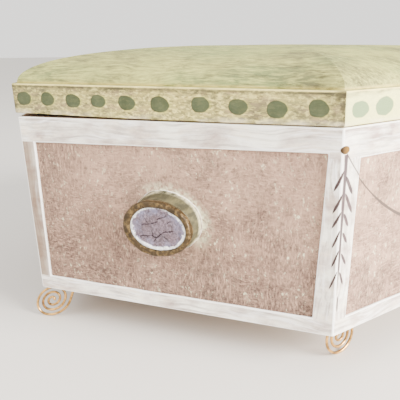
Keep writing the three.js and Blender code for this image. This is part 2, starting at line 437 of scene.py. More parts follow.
def whitePaint(name, paintedHighlight):
    # chalky white strips with faint grey and cream streaks, the vine, the corner dots and the cord's ends;
    # the second value, from 0 to 1, lifts the white towards a near-pure white for a painted highlight
    look = whiteLook
    material, point = newMaterial(name, 0.75, gloss=0.15)
    masks = clouds(bendPoint(point, 20.0, 0.012), look["masks"])
    # rails are brushed along, stiles up and down
    front = sidePoint(point, 0)
    seen = split(front)
    onStile = times(calc("GREATER_THAN", seen[2], 7.6 * mm), calc("LESS_THAN", seen[2], 79 * mm))
    masks["streaks"] = mix(onStile, masks["level"], masks["upright"])
    masks["bright"] = mix(onStile, masks["brightLevel"], masks["brightUpright"])
    # painted shade: the stile at the front's left is darker and browner
    farLeft = spread(seen[0], 14 * mm - cornerX, 3 * mm - cornerX)
    masks["brown"] = times(times(farLeft, onStile), onSide(front, stripApothem))
    color = layered(masks, look)
    # painted highlight: the white lifted towards a near-pure white
    color = mix(paintedHighlight, color, look["paintedHighlight"])
    color = coat(color, garlandMask(point, stripApothem), 0.95, look["cord"])
    blot = cloud(point, 300, 0.4, 0.6)
    relief = masks["streaks"]
    gold = 0.0
    for index in (1, 2):
        unfolded, outside = cornerPoint(point, index)
        color = coat(color, times(stemMask(unfolded), outside), 0.96, look["stem"])
        # the leaves right of the corner take a slightly paler tone than those left of it: painted light on
        # one leaf paint
        pale = times(leafMask(unfolded, vine["paleLeaves"], vine["paleWidth"]), outside)
        color = coat(color, pale, 0.97, mix(blot, *look["paleLeaf"]))
        dark = times(leafMask(unfolded, vine["darkLeaves"], vine["darkWidth"]), outside)
        color = mix(dark, color, mix(blot, *look["darkLeaf"]))
        # the gold dot is one gilt paint, dark brown left of the corner and bright gold right of it: painted
        # shade and painted light
        dot = times(cornerDot(unfolded), outside)
        color = mix(dot, color, mix(spread(split(unfolded)[0], 0.2 * mm, 2.6 * mm), *look["gold"]))
        gold = larger(gold, dot)
        relief = plus(relief, times(plus(pale, dark), 0.5))
    feed("Base Color", color)
    dullness(gold, 0.75, 0.6)
    roughen(relief, 0.12 * mm, 0.6)
    return material


sageLook = {
    "masks": {
        "patches": ((30, 30, 60), 0.4, 0.6, 8, 0.7),
        "green": ((16, 24, 36), 0.44, 0.64, 6, 0.6, (0, 0, 0.5)),
        "long": ((120, 800, 800), 0.48, 0.66, 6, 0.6, (0, 0, 0.12)),
        "cross": ((160, 700, 700), 0.48, 0.66, 6, 0.6, (0, 0, -0.9)),
        "dark": ((110, 460, 460), 0.52, 0.7, 7, 0.7, (0, 0, -0.15)),
        "blots": ((80, 140, 140), 0.62, 0.74, 7),
        "worn": ((90, 90, 140), 0.3, 0.5),
    },
    "ground": ((98, 96, 66), (156, 155, 92)),
    "coats": {
        "green": (0.6, (112, 133, 83)),
        "strokes": (0.62, (196, 194, 112)),
        "dark": (0.75, (76, 72, 50)),
        "blots": (0.4, (75, 70, 48)),
        "foot": (0.85, (228, 212, 128)),
        "stain": (0.6, (63, 58, 37)),
    },
}


def sagePaint():
    # sage wash brushed in long strokes over cream, worn pale at the foot of the dome
    look = sageLook
    material, point = newMaterial("sagePaint", 0.7, gloss=0.15)
    masks = clouds(bendPoint(point, 22.0, 0.012), look["masks"])
    strokes = larger(masks["long"], times(masks["cross"], 0.8))
    masks["strokes"] = strokes
    # cream where the foot of the dome meets the rim
    seen = split(point)
    lift = spread(seen[0], -120 * mm, 80 * mm, 2.1 * mm, 0)
    over = minus(minus(seen[2], rimHigh.z), lift)
    masks["foot"] = times(spread(over, 1.3 * mm, 0.3 * mm), masks["worn"])
    # brown behind the front right corner
    corner = Matrix.Rotation(-sixth, 3, "Z") @ Vector((2 * rimHalf, 0, 0)) + middle
    away = lengthOf(vectorCalc("SUBTRACT", point, (corner.x - 10 * mm, corner.y, rimHigh.z)))
    masks["stain"] = times(spread(away, 26 * mm, 4 * mm), spread(masks["dark"], 0, 0.5, 0.4, 1))
    feed("Base Color", layered(masks, look))
    dullness(strokes, 0.74, 0.55)
    roughen(minus(strokes, masks["dark"]), 0.18 * mm, 0.7)
    return material


# Dots on the lid's rim, in millimetres: place along the side, height above the rim's lower edge, width,
# height of the dot
rimDots = {
    "front": [
        (-73.9, 6.8, 8.5, 6.2), (-60.0, 6.9, 7.9, 6.0), (-45.6, 6.6, 8.3, 5.9), (-31.7, 6.8, 8.1, 5.5),
        (-16.7, 6.5, 8.8, 6.1), (0.0, 6.4, 9.4, 6.7), (19.2, 6.8, 8.6, 6.3), (36.5, 6.5, 8.8, 6.3),
        (53.2, 5.9, 8.8, 6.9), (69.9, 6.7, 8.3, 6.9),
    ],
    "right_front": [
        (-71.9, 6.1, 10.1, 6.3), (-57.0, 6.4, 11.3, 7.7), (-41.5, 6.6, 10.4, 7.0), (-26.5, 6.9, 9.8, 6.6),
        (-11.0, 6.7, 10.2, 6.8), (4.5, 7.0, 9.6, 6.4), (20.0, 7.2, 9.9, 6.6), (35.5, 6.8, 9.4, 6.2),
        (51.0, 7.1, 9.8, 6.5), (67.0, 7.3, 9.2, 6.2),
    ],
}
rimLook = {
    "masks": {
        "patches": ((80, 80, 140), 0.38, 0.62, 7, 0.7),
        "level": ((150, 150, 900), 0.46, 0.64, 6, 0.75),
        "beige": ((80, 80, 260), 0.5, 0.66, 6, 0.6, (0.2, 0.1, 0)),
        "olive": ((160, 160, 700), 0.52, 0.66, 7, 0.75, (0, 0.1, 0.3)),
        "pits": ((420, 420, 700), 0.54, 0.66, 6),
        "grain": ((420, 420, 800), 0.5, 0.62, 6),
        "lowWear": ((80, 80, 200), 0.4, 0.6),
        "topStreaks": ((50, 50, 240), 0.44, 0.6, 5),
        "seamWear": (60, 0.4, 0.62, 5),
        "topWear": (70, 0.32, 0.5),
    },
    "ground": ((102, 97, 70), (157, 149, 94)),
    "coats": {
        "level": (0.6, (224, 206, 117)),
        "beige": (0.6, (160, 134, 106)),
        "olive": (0.7, (76, 74, 58)),
        "pits": (0.6, (66, 62, 48)),
        "grain": (0.65, (240, 226, 140)),
        # painted shade towards each side's ends
        "ends": (0.3, (92, 90, 70)),
        # the pale tone of the right front side is painted light
        "paintedLitSide": (0.76, (236, 234, 158)),
        "ring": (0.14, (243, 243, 105)),
    },
    "dot": ((56, 65, 46), (70, 79, 57)),
    # the dots' pale tone on the right front side is painted light
    "dotCoats": {"wetEdge": (0.5, (45, 48, 30)), "paintedLitSide": (0.85, (120, 142, 102))},
    "wear": {
        "lowEdge": (0.6, (238, 226, 192)),
        "streak": (0.7, (67, 62, 44)),
        "seam": (0.8, (66, 62, 46)),
        "rubbed": (0.9, (236, 220, 140)),
        "stain": (0.8, (58, 52, 38)),
    },
    "ledge": ((109, 108, 71), (168, 164, 96)),
}


def rimPaint():
    # cream and sage wash on the lid's rim, brown in the worn corners, with round brush dots; painted shade
    # darkens each side towards its ends and painted light makes the right front side paler
    look = rimLook
    material, point = newMaterial("rimPaint", 0.72, gloss=0.15)
    masks = clouds(bendPoint(point, 24.0, 0.006), look["masks"])
    along, height = list(split(makeNode("UVMap", uv_map="side").outputs[0]))[:2]
    fromMiddle = calc("ABSOLUTE", along)
    # painted shade: each side is darker towards its ends, near the corners
    masks["ends"] = spread(fromMiddle, 0.2 * rimHalf, 0.95 * rimHalf)
    # painted light: the right front side is much paler
    lightPoint = sidePoint(point, 1)
    pastCorner = calc("GREATER_THAN", split(lightPoint)[0], -rimHalf)
    paintedLitSide = times(onSide(lightPoint, lidApothem), pastCorner)
    masks["paintedLitSide"] = paintedLitSide
    # each dot is flat on its left and comes to a blunt point on its right
    jitter = makeNode("TexNoise", {"Vector": point, "Scale": 190.0, "Detail": 2.0}).outputs["Color"]
    jitter = scaleVector(vectorCalc("SUBTRACT", jitter, (0.5, 0.5, 0.5)), 0.34)
    loose = vectorCalc("ADD", makeNode("UVMap", uv_map="dot").outputs[0], jitter)
    dotX, dotZ = list(split(loose))[:2]
    bulge = calc("POWER", calc("ABSOLUTE", dotX), spread(dotX, -0.2, 0.2, 3.2, 1.7))
    field = calc("MULTIPLY_ADD", dotZ, dotZ, bulge)
    dots = spread(field, 1.06, 0.9)
    masks["ring"] = times(spread(field, 1.7, 1.1), spread(dotX, -0.6, 0.6))
    masks["wetEdge"] = times(spread(field, 0.55, 0.95), spread(dotX, 0.3, -0.5))
    dotTone = mix(cloud(point, 160, 0.35, 0.65), *look["dot"])
    # painted light: the dots on the right front side are paler too
    dotTone = coats(dotTone, masks, look["dotCoats"])
    color = layered(masks, look)
    color = coat(color, dots, 0.95, dotTone)
    # wear: cream along both edges, brown streaks under the top edge and brown stain at the corners. The
    # seam and the stain fade on the right front side, under its painted light
    under = minus(rimTall, height)
    masks["lowEdge"] = times(spread(height, 2.6 * mm, 0.4 * mm), masks["lowWear"])
    masks["streak"] = times(spread(under, 3.4 * mm, 1.0 * mm), masks["topStreaks"])
    masks["rubbed"] = times(spread(under, 0.9 * mm, 0.3 * mm), masks["topWear"])
    seam = spread(calc("ABSOLUTE", minus(under, 1.2 * mm)), 0.65 * mm, 0.25 * mm)
    seam = times(seam, masks["seamWear"])
    masks["seam"] = times(seam, calc("MULTIPLY_ADD", paintedLitSide, -0.7, 1.0))
    grit = cloud(point, 380, 0.42, 0.56, 4)
    stain = times(spread(minus(rimHalf, fromMiddle), 9 * mm, 0.5 * mm), grit)
    stain = times(stain, spread(along, -rimHalf, rimHalf, 0.45, 1.0))
    masks["stain"] = times(stain, calc("MULTIPLY_ADD", paintedLitSide, -0.9, 1.0))
    color = coats(color, masks, look["wear"])
    ledge = spread(under, 0.14 * mm, 0.04 * mm)
    color = coat(color, ledge, 0.9, mix(masks["patches"], *look["ledge"]))
    feed("Base Color", color)
    roughen(plus(masks["level"], times(dots, 0.6)), 0.12 * mm, 0.6)
    return material


def bareWood(name, tones):
    # inside faces: sanded softwood with long grain
    material, point = newMaterial(name, 0.7)
    grain = cloud(point, (30, 420, 420), 0.4, 0.66, 5)
    rings = cloud(point, (8, 60, 60), 0.4, 0.6, 2)
    feed("Base Color", coat(mix(grain, tones[0], tones[1]), rings, 0.4, tones[2]))
    roughen(grain, 0.08 * mm, 0.5)
    return material


def brassWire(bright, tarnished):
    material, point = newMaterial("brassWire", 0.34, 1.0)
    dull = cloud(point, 240, 0.42, 0.64, 4)
    feed("Base Color", mix(dull, bright, tarnished))
    dullness(dull, 0.28, 0.45)
    roughen(dull, 0.05 * mm, 0.4)
    return material


def agedGilt(brown, bronze, gold):
    # gilt paste rubbed over brown in patches
    material, point = newMaterial("agedGilt", 0.42, 0.55)
    patches = cloud(point, 260, 0.36, 0.64, 5)
    rub = cloud(point, 520, 0.5, 0.68, 3)
    feed("Base Color", coat(mix(patches, brown, bronze), rub, 0.65, gold))
    dullness(patches, 0.5, 0.34)
    roughen(plus(patches, rub), 0.25 * mm, 0.7)
    return material


def oliveGilt(dark, body, deepest, cream):
    # the drum's side: olive gold brushed from the box outwards, cream where it meets the wall
    material, point = newMaterial("oliveGilt", 0.55, 0.1, gloss=0.3)
    strokes = cloud(point, (380, 90, 380), 0.4, 0.68, 4)
    deep = cloud(point, 140, 0.48, 0.7, 4)
    nearWall = spread(split(point)[1], wallFaceY - 2.6 * mm, wallFaceY - 0.4 * mm)
    foot = times(nearWall, cloud(point, (300, 200, 300), 0.36, 0.56, 5))
    color = coat(mix(strokes, dark, body), deep, 0.6, deepest)
    feed("Base Color", coat(color, foot, 0.85, cream))
    roughen(plus(strokes, deep), 0.2 * mm, 0.6)
    return material


# The knob, in millimetres; the shifts are to the right and up, the cracks are strokes on the stone
knob = {
    "halfLength": 17.4,
    "halfHeight": 13.1,
    "rim": 3.3,
    "bezelDepth": 4.0,
    "baseHalfLength": 17.8,
    "baseHalfHeight": 14.5,
    "baseShift": -1.2,
    "collar": 0.2,
    "stoneShift": (0.5, 0.3),
    "openingShift": 0.9,
    "bezelShift": (-0.5, -0.4),
    "cracks": [
        (1.0, 4.2, 4.4, 5.4, 0.5), (4.2, 5.3, 5.7, 6.6, 0.35), (-7.6, 1.0, -2.5, 1.8, 0.4),
        (-2.6, 1.7, 1.5, 3.5, 0.4), (-8.8, -4.8, -2.2, -3.7, 0.45), (-2.6, -3.6, 0.6, -4.5, 0.8),
        (0.2, -4.5, 3.4, -1.8, 0.6), (3.0, -2.0, 9.3, -0.5, 0.45), (0.3, -4.3, -1.4, -6.6, 0.4),
        (-2.3, -1.0, -1.2, -4.5, 0.4), (3.2, -2.9, 6.7, -5.8, 0.35), (-5.4, 4.6, -3.6, 1.6, 0.3),
        (5.6, 2.4, 8.2, 3.6, 0.3),
    ],
    "crackShift": 0.8,
}
bezelLow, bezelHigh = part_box("knob_bezel")
knobCentre = (bezelLow + bezelHigh) / 2
outwards = Matrix.Rotation(math.radians(90), 4, "X")
knobMatrix = Matrix.Translation((knobCentre.x, wallFaceY, knobCentre.z)) @ outwards
bezelX, bezelY = knob["bezelShift"]
bezelShift = Matrix.Translation((bezelX * mm, bezelY * mm, 0))
stoneX, stoneZ = knob["stoneShift"]
stoneShift = Vector((knob["openingShift"] + bezelX + stoneX, 0, bezelY + stoneZ)) * mm

stoneLook = {
    "masks": {
        "ragged": (420, 0.3, 0.7, 4),
        "patches": (150, 0.36, 0.64, 5),
        "grain": (900, 0.4, 0.66, 3),
        "warm": (260, 0.5, 0.7, 4),
        "uneven": (240, 0.42, 0.62),
    },
    "ground": ((74, 63, 68), (104, 88, 96)),
    "coats": {
        "grain": (0.4, (166, 146, 162)),
        "warm": (0.5, (87, 66, 66)),
        "frost": (0.7, (140, 138, 168)),
        "crack": (0.97, (41, 29, 35)),
    },
    "edge": (243, 243, 243),
}


def druzyStone():
    # cracked lavender crystal skin inside a rough white edge
    look = stoneLook
    material, point = newMaterial("druzyStone", 0.3, gloss=0.3)
    masks = clouds(point, look["masks"])
    size = ((knob["halfLength"] - knob["rim"]) * mm, 1000, (knob["halfHeight"] - knob["rim"]) * mm)
    radius = lengthOf(placeAt(point, knobCentre + stoneShift, size))
    radius = plus(radius, times(minus(masks["ragged"], 0.5), 0.12))
    masks["frost"] = times(spread(radius, 0.55, 0.85), masks["uneven"])
    crackShift = Vector((knob["crackShift"], 0, knob["crackShift"])) * mm
    local = vectorCalc("SUBTRACT", bendPoint(point, 300.0, 1.6 * mm), knobCentre + crackShift)
    masks["crack"] = spread(nearestStroke(local, knob["cracks"]), 1.5, 0.6)
    color = layered(masks, look)
    edge = spread(radius, 0.9, 0.95)
    feed("Base Color", mix(edge, color, look["edge"]))
    dullness(edge, 0.26, 0.6)
    height = minus(plus(masks["grain"], masks["ragged"]), masks["crack"])
    roughen(height, 0.35 * mm, 0.9)
    return material


print("making materials")
mauve = mauvePaint()
white = whitePaint("whitePaint", 0.0)
# a brighter copy of the white: a painted highlight for the frame's softened edges
highlightWhite = whitePaint("highlightWhite", 0.85)
sage = sagePaint()
rimWash = rimPaint()
wood = bareWood("bareWood", [(176, 142, 98), (150, 112, 70), (196, 166, 122)])
# a near-black copy of the wood for the lid's inner lip: painted shade for the gap under the rim
paintedShadeWood = bareWood("paintedShadeWood", [(26, 19, 13), (18, 13, 9), (36, 26, 18)])
brass = brassWire((226, 178, 102), (112, 80, 46))
gilt = agedGilt((50, 38, 20), (76, 60, 36), (132, 106, 62))
olive = oliveGilt((62, 60, 45), (100, 94, 66), (63, 59, 34), (236, 226, 186))
stoneSkin = druzyStone()


def makeObject(bm, name, material):
    mesh = bpy.data.meshes.new(name)
    bm.to_mesh(mesh)
    bm.free()
    mesh.materials.append(material)
    made = bpy.data.objects.new(name, mesh)
    bpy.context.scene.collection.objects.link(made)
    return made


def finishPiece(bm, name, material, smooth=True, replaced=()):
    bmesh.ops.recalc_face_normals(bm, faces=bm.faces)
    piece = makeObject(bm, name, material)
    for polygon in piece.data.polygons:
        polygon.use_smooth = smooth
    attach(piece, "root")
    if replaced:
        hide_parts(*replaced)
    return piece


def thicken(piece, depth):
    solidify = piece.modifiers.new("Solidify", "SOLIDIFY")
    solidify.thickness = depth
    solidify.offset = -1
    solidify.use_even_offset = True


def soften(piece, width, segments, material=-1):
    bevel = piece.modifiers.new("Bevel", "BEVEL")
    bevel.width = width * mm
    bevel.segments = segments
    bevel.limit_method = "ANGLE"
    bevel.angle_limit = math.radians(35)
    bevel.material = material


def repaint(names, material):
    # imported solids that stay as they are, under new paint
    for name in names:
        nodes[name].data.materials.clear()
        nodes[name].data.materials.append(material)


def localPoints(node, index):
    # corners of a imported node, seen by side number index
    inverse = sideMatrix(index, 0).inverted()
    return [inverse @ vertex.co for vertex in nodes[node].data.vertices]


def sideSheet(width, low, high):
    # one upright face, in local x and z, whose front looks along -y
    bm = bmesh.new()
    bmesh.ops.create_grid(bm, x_segments=1, y_segments=1, size=0.5)
    scale = Matrix.Diagonal((width, high - low, 1, 1))
    upright = Matrix.Rotation(math.radians(90), 4, "X")
    lift = Matrix.Translation((0, 0, (low + high) / 2))
    bmesh.ops.transform(bm, matrix=lift @ upright @ scale, verts=bm.verts)
    return bm


def cutAt(bm, axis, places):
    normal = Vector((0, 0, 0))
    normal[axis] = 1
    for place in places:
        geometry = bm.verts[:] + bm.edges[:] + bm.faces[:]
        bmesh.ops.bisect_plane(bm, geom=geometry, plane_co=normal * place, plane_no=normal, dist=1e-6)


def cutAcross(bm, axis, low, high, parts, ends=True):
    # straight cuts at even steps from low to high along an axis
    steps = range(0 if ends else 1, parts + (1 if ends else 0))
    cutAt(bm, axis, [low + (high - low) * step / parts for step in steps])


def weld(bm, gap):
    bmesh.ops.remove_doubles(bm, verts=bm.verts, dist=gap * mm)


def addTo(target, bm, matrix):
    bmesh.ops.transform(bm, matrix=matrix, verts=bm.verts)
    holder = bpy.data.meshes.new("holder")
    bm.to_mesh(holder)
    bm.free()
    target.from_mesh(holder)
    bpy.data.meshes.remove(holder)


def nextRing(bm, edges):
    # carries an open edge on; gives the new edges and their corners, which still lie on the old ones
    made = bmesh.ops.extrude_edge_only(bm, edges=edges)["geom"]
    fresh = [item for item in made if isinstance(item, bmesh.types.BMVert)]
    return [item for item in made if isinstance(item, bmesh.types.BMEdge)], fresh


# White strips round the six sides, as one painted frame; the windows between them are a little out of
# true. In millimetres
strips = {"wobble": 0.16, "step": 5.0, "bevel": 0.6, "overlap": 0.15}


def freeEdge(node, index, along, across, pick):
    # the two ends of a strip's free edge, as places along and across the side
    points = localPoints(node, index)
    ends = []
    for outermost in (min, max):
        limit = outermost(p[along] for p in points)
        ends.append((limit, pick(p[across] for p in points if abs(p[along] - limit) < 0.3 * mm)))
    return ends


def edgeAt(ends, place):
    (start, first), (stop, last) = ends
    return first + (last - first) * (place - start) / (stop - start)


def slide(value, marks, places):
    # moves a value between two marks to the same share between the two places that belong to them
    for number in range(3):
        if value <= marks[number + 1] + 1e-7 or number == 2:
            share = (value - marks[number]) / (marks[number + 1] - marks[number])
            return places[number] + (places[number + 1] - places[number]) * share


bottom, top = wallLow.z, wallHigh.z
left = max(p.x for p in localPoints("left_stile_back", 3))
low = max(p.z for p in localPoints("bottom_rail_back", 3))
high = min(p.z for p in localPoints("top_rail_back", 3))
widthMarks = (-cornerX, left, -left, cornerX)
heightMarks = (bottom, low, high, top)
whole = bmesh.new()
for index, face in enumerate(faceNames):
    leftEdge = freeEdge("left_stile_" + face, index, 2, 0, max)
    rightEdge = freeEdge("right_stile_" + face, index, 2, 0, min)
    lowEdge = freeEdge("bottom_rail_" + face, index, 0, 2, max)
    highEdge = freeEdge("top_rail_" + face, index, 0, 2, min)
    sheet = sideSheet(2 * cornerX, bottom, top)
    cutAcross(sheet, 0, left, -left, round(-2 * left / (strips["step"] * mm)))
    cutAcross(sheet, 2, low, high, round((high - low) / (strips["step"] * mm)))
    hole = []
    for polygon in sheet.faces:
        centre = polygon.calc_center_median()
        if abs(centre.x) < -left and low < centre.z < high:
            hole.append(polygon)
    bmesh.ops.delete(sheet, geom=hole, context="FACES")
    for vertex in sheet.verts:
        place = vertex.co.copy()
        seed = Vector((place.x * 60, index * 7.0, place.z * 60))
        heights = (bottom, edgeAt(lowEdge, place.x), edgeAt(highEdge, place.x), top)
        inside = min(1.0, (cornerX - abs(place.x)) / (cornerX + left))
        tall = place.z + (slide(place.z, heightMarks, heights) - place.z) * inside
        widths = (-cornerX, edgeAt(leftEdge, tall), edgeAt(rightEdge, tall), cornerX)
        wide = slide(place.x, widthMarks, widths)
        if low - 1e-6 <= place.z <= high + 1e-6 and abs(abs(place.x) + left) < 1e-6:
            wide += noise.noise(seed) * strips["wobble"] * mm
        if abs(place.x) <= -left + 1e-6 and min(abs(place.z - low), abs(place.z - high)) < 1e-6:
            tall += noise.noise(seed + Vector((9, 3, 1))) * strips["wobble"] * mm
        vertex.co = (wide, place.y, tall)
    addTo(whole, sheet, sideMatrix(index, stripApothem))
weld(whole, 0.02)
stripKinds = ["top_rail_", "bottom_rail_", "left_stile_", "right_stile_"]
stripNodes = [kind + face for kind in stripKinds for face in faceNames]
whiteFrame = finishPiece(whole, "whiteFrame", white, smooth=False, replaced=stripNodes)
whiteFrame.data.materials.append(highlightWhite)
thicken(whiteFrame, stripApothem - wallApothem + strips["overlap"] * mm)
# the softened edges take the frame's second paint, a near-pure white that is a painted highlight along them
soften(whiteFrame, strips["bevel"], 2, material=1)
repaint(["wall_" + face for face in faceNames], mauve)
print("white strips done")

# Lid rim: a thick hexagonal band with softened edges. The lid sits a little proud of the box at its left:
# topLift and seatLift are how far its top and its lower edge are raised at places across the box, in mm
rim = {
    "bevel": 0.6,
    "wobble": 0.18,
    "topLift": [(-170, 2.1), (-120, 2.1), (80, 0.0), (170, 0.0)],
    "seatLift": [
        (-170, 0.4), (-100, 1.2), (-80, 1.5), (-69, 1.4), (-30, 0.7), (0, 0.4), (40, 0.25), (170, 0.2),
    ],
}


def liftAt(table, x):
    place = (x - middle.x) / mm
    for (start, first), (stop, last) in zip(table, table[1:]):
        if place <= stop:
            return (first + (last - first) * (place - start) / (stop - start)) * mm
    return table[-1][1] * mm


band = bmesh.new()
for index, face in enumerate(faceNames):
    dots = rimDots.get(face, rimDots["front"])
    gaps = [(one[0] + two[0]) / 2 for one, two in zip(dots, dots[1:])]
    sheet = sideSheet(2 * rimHalf, rimLow.z, rimHigh.z)
    cutAt(sheet, 0, sorted(place * mm for place in gaps + [dot[0] for dot in dots]))
    cutAcross(sheet, 2, rimLow.z, rimHigh.z, 4, ends=False)
    sideLayer = sheet.loops.layers.uv.new("side")
    dotLayer = sheet.loops.layers.uv.new("dot")
    for polygon in sheet.faces:
        centre = polygon.calc_center_median().x / mm
        dotX, dotZ, dotWidth, dotTall = dots[sum(centre > gap for gap in gaps)]
        for loop in polygon.loops:
            x, z = loop.vert.co.x / mm, (loop.vert.co.z - rimLow.z) / mm
            loop[sideLayer].uv = (x * mm, z * mm)
            loop[dotLayer].uv = ((x - dotX) * 2 / dotWidth, (z - dotZ) * 2 / dotTall)
    for vertex in sheet.verts:
        inner = 1 - abs(vertex.co.x / rimHalf) ** 8
        seed = vertex.co * 45 + Vector((0, 11 * index, 0))
        vertex.co.y += noise.noise(seed) * rim["wobble"] * mm * inner
    addTo(band, sheet, sideMatrix(index, lidApothem))
for vertex in band.verts:
    share = (vertex.co.z - rimLow.z) / rimTall
    seatLift = liftAt(rim["seatLift"], vertex.co.x)
    vertex.co.z += seatLift + (liftAt(rim["topLift"], vertex.co.x) - seatLift) * share
weld(band, 0.02)
lidRim = finishPiece(
    band, "lidRim", rimWash, smooth=False,
    replaced=["lid_rim_" + face for face in faceNames],
)
thicken(lidRim, rimHigh.y - rimLow.y)
soften(lidRim, rim["bevel"], 3)
# the lid's inner lip takes the near-black wood: painted shade in the gap under the rim
repaint(["lid_lip_" + face for face in faceNames], paintedShadeWood)
print("lid rim done")

# Domed top: hexagonal rings that rise along the cove and close at the middle; thickness and sway are in
# millimetres
dome = {"rings": 26, "cuts": 23, "thickness": 4.0, "sway": 0.7, "sidePower": 0.68, "risePower": 0.9}
domeRise = domeHigh.z - domeLow.z
shell = bmesh.new()
bmesh.ops.create_circle(shell, segments=6, radius=domeApothem / math.cos(sixth / 2))
bmesh.ops.rotate(shell, verts=shell.verts, matrix=Matrix.Rotation(sixth / 2, 3, "Z"))
bmesh.ops.subdivide_edges(shell, edges=shell.edges, cuts=dome["cuts"])
loopEdges = shell.edges[:]
lastShare, lastHeight = 1.0, 0.0
for ring in range(1, dome["rings"] + 1):
    angle = math.radians(90) * ring / dome["rings"]
    share = max(0.02, max(0.0, math.cos(angle)) ** dome["sidePower"])
    height = domeRise * math.sin(angle) ** dome["risePower"]
    loopEdges, fresh = nextRing(shell, loopEdges)
    bmesh.ops.scale(shell, verts=fresh, vec=(share / lastShare, share / lastShare, 1))
    bmesh.ops.translate(shell, verts=fresh, vec=(0, 0, height - lastHeight))
    lastShare, lastHeight = share, height
bmesh.ops.contextual_create(shell, geom=loopEdges)
for vertex in shell.verts:
    up = vertex.co.z / domeRise
    seed = Vector((vertex.co.x * 16, vertex.co.y * 16, 4.2))
    vertex.co.z += noise.noise(seed) * dome["sway"] * mm * up
bmesh.ops.translate(shell, verts=shell.verts, vec=middle + Vector((0, 0, rimHigh.z - 0.2 * mm)))
for vertex in shell.verts:
    vertex.co.z += liftAt(rim["topLift"], vertex.co.x)
for edge in shell.edges:
    edge.smooth = len(edge.link_faces) < 2 or edge.calc_face_angle() < math.radians(7)
lidDome = finishPiece(shell, "lidDome", sage, replaced=["lid_dome"])
thicken(lidDome, dome["thickness"] * mm)
print("dome done")


def ovalStack(bm, stations, capStart=True, capEnd=True):
    # rings along the knob's axis; a station is half length, half height, height and shift to the right
    def stationMatrix(station):
        halfLength, halfHeight, height, shift = station
        size = Matrix.Diagonal((halfLength * mm, halfHeight * mm, 1, 1))
        return Matrix.Translation((shift * mm, 0, height * mm)) @ size
    bmesh.ops.create_circle(bm, segments=96, radius=1.0)
    bmesh.ops.transform(bm, matrix=stationMatrix(stations[0]), verts=bm.verts)
    edges = bm.edges[:]
    if capStart:
        bmesh.ops.contextual_create(bm, geom=edges)
    for last, station in zip(stations, stations[1:]):
        edges, fresh = nextRing(bm, edges)
        move = stationMatrix(station) @ stationMatrix(last).inverted()
        bmesh.ops.transform(bm, matrix=move, verts=fresh)
    if capEnd:
        bmesh.ops.contextual_create(bm, geom=edges)


def knobPiece(bm, name, material, rough=(0, 1), shift=Matrix.Identity(4), replaced=()):
    # the knob's oval is a little flatter at its upper left and fuller at its lower right; rough is how far
    # its surface is pushed about, in millimetres, and how many bumps fit in a metre
    amount, cells = rough
    for vertex in bm.verts:
        angle = math.atan2(vertex.co.y, vertex.co.x)
        ease = 1 + 0.025 * math.cos(angle + math.radians(50)) + 0.012 * math.cos(3 * angle)
        vertex.co.x *= ease
        vertex.co.y *= ease
        vertex.co += noise.noise_vector(vertex.co * cells) * amount * mm
    bmesh.ops.transform(bm, matrix=knobMatrix @ shift, verts=bm.verts)
    finishPiece(bm, name, material, replaced=replaced)


# Knob drum: an oval cup that narrows from the wall to the bezel, with brushed sides. In millimetres; the
# front is smaller than the bezel by inLength and inHeight, sunk is how far each end runs on
reach = (wallFaceY - bezelLow.y) / mm
cup = {"steps": 14, "inLength": 0.9, "inHeight": 0.7, "waist": 0.045, "sunk": 0.2}
drumFront = reach - knob["bezelDepth"] + cup["sunk"]
narrowLength = knob["halfLength"] - cup["inLength"] - knob["baseHalfLength"]
narrowHeight = knob["halfHeight"] - cup["inHeight"] - knob["baseHalfHeight"]
drum = bmesh.new()
stations = []
for step in range(cup["steps"] + 1):
    share = step / cup["steps"]
    eased = share * share * (3 - 2 * share)
    waist = 1 - cup["waist"] * math.sin(math.pi * share)
    stations.append((
        (knob["baseHalfLength"] + narrowLength * eased) * waist,
        (knob["baseHalfHeight"] + narrowHeight * eased) * waist,
        -cup["sunk"] + (drumFront + cup["sunk"]) * share,
        knob["baseShift"] * (1 - share),
    ))
ovalStack(drum, stations)
knobPiece(drum, "knobDrum", olive, (0.35, 160), replaced=["knob_drum"])

# Cream paint ridge round the drum's foot, in millimetres: a half ring from its outer to its inner edge
ridge = {"steps": 12, "outer": 0.9, "wide": 1.5, "sunk": 0.1, "tall": 0.6}
collar = bmesh.new()
stations = []
for step in range(ridge["steps"] + 1):
    angle = math.pi * step / ridge["steps"]
    inwards = ridge["wide"] * (1 - math.cos(angle)) / 2
    out = knob["collar"] * (ridge["outer"] - inwards)
    length, height = knob["baseHalfLength"] + out, knob["baseHalfHeight"] + out
    stations.append((length, height, ridge["tall"] * math.sin(angle) - ridge["sunk"], knob["baseShift"]))
ovalStack(collar, stations, capStart=False, capEnd=False)
knobPiece(collar, "knobCollar", white, (0.4, 420))

# Bezel: a hammered ring with a round crest; squareness is 1 for a round section, less for a boxy one
ring = {"steps": 28, "squareness": 0.62}
bezel = bmesh.new()
stations = []
for step in range(ring["steps"] + 1):
    angle = 2 * math.pi * step / ring["steps"]
    wide = math.copysign(abs(math.cos(angle)) ** ring["squareness"], math.cos(angle))
    tall = math.copysign(abs(math.sin(angle)) ** ring["squareness"], math.sin(angle))
    offset = knob["rim"] / 2 * (1 - wide)
    stations.append((
        knob["halfLength"] - offset,
        knob["halfHeight"] - offset,
        reach - knob["bezelDepth"] / 2 * (1 - tall),
        knob["openingShift"] * offset / knob["rim"],
    ))
ovalStack(bezel, stations, capStart=False, capEnd=False)
weld(bezel, 0.01)
knobPiece(bezel, "knobBezel", gilt, (0.32, 230), bezelShift, ["knob_bezel"])

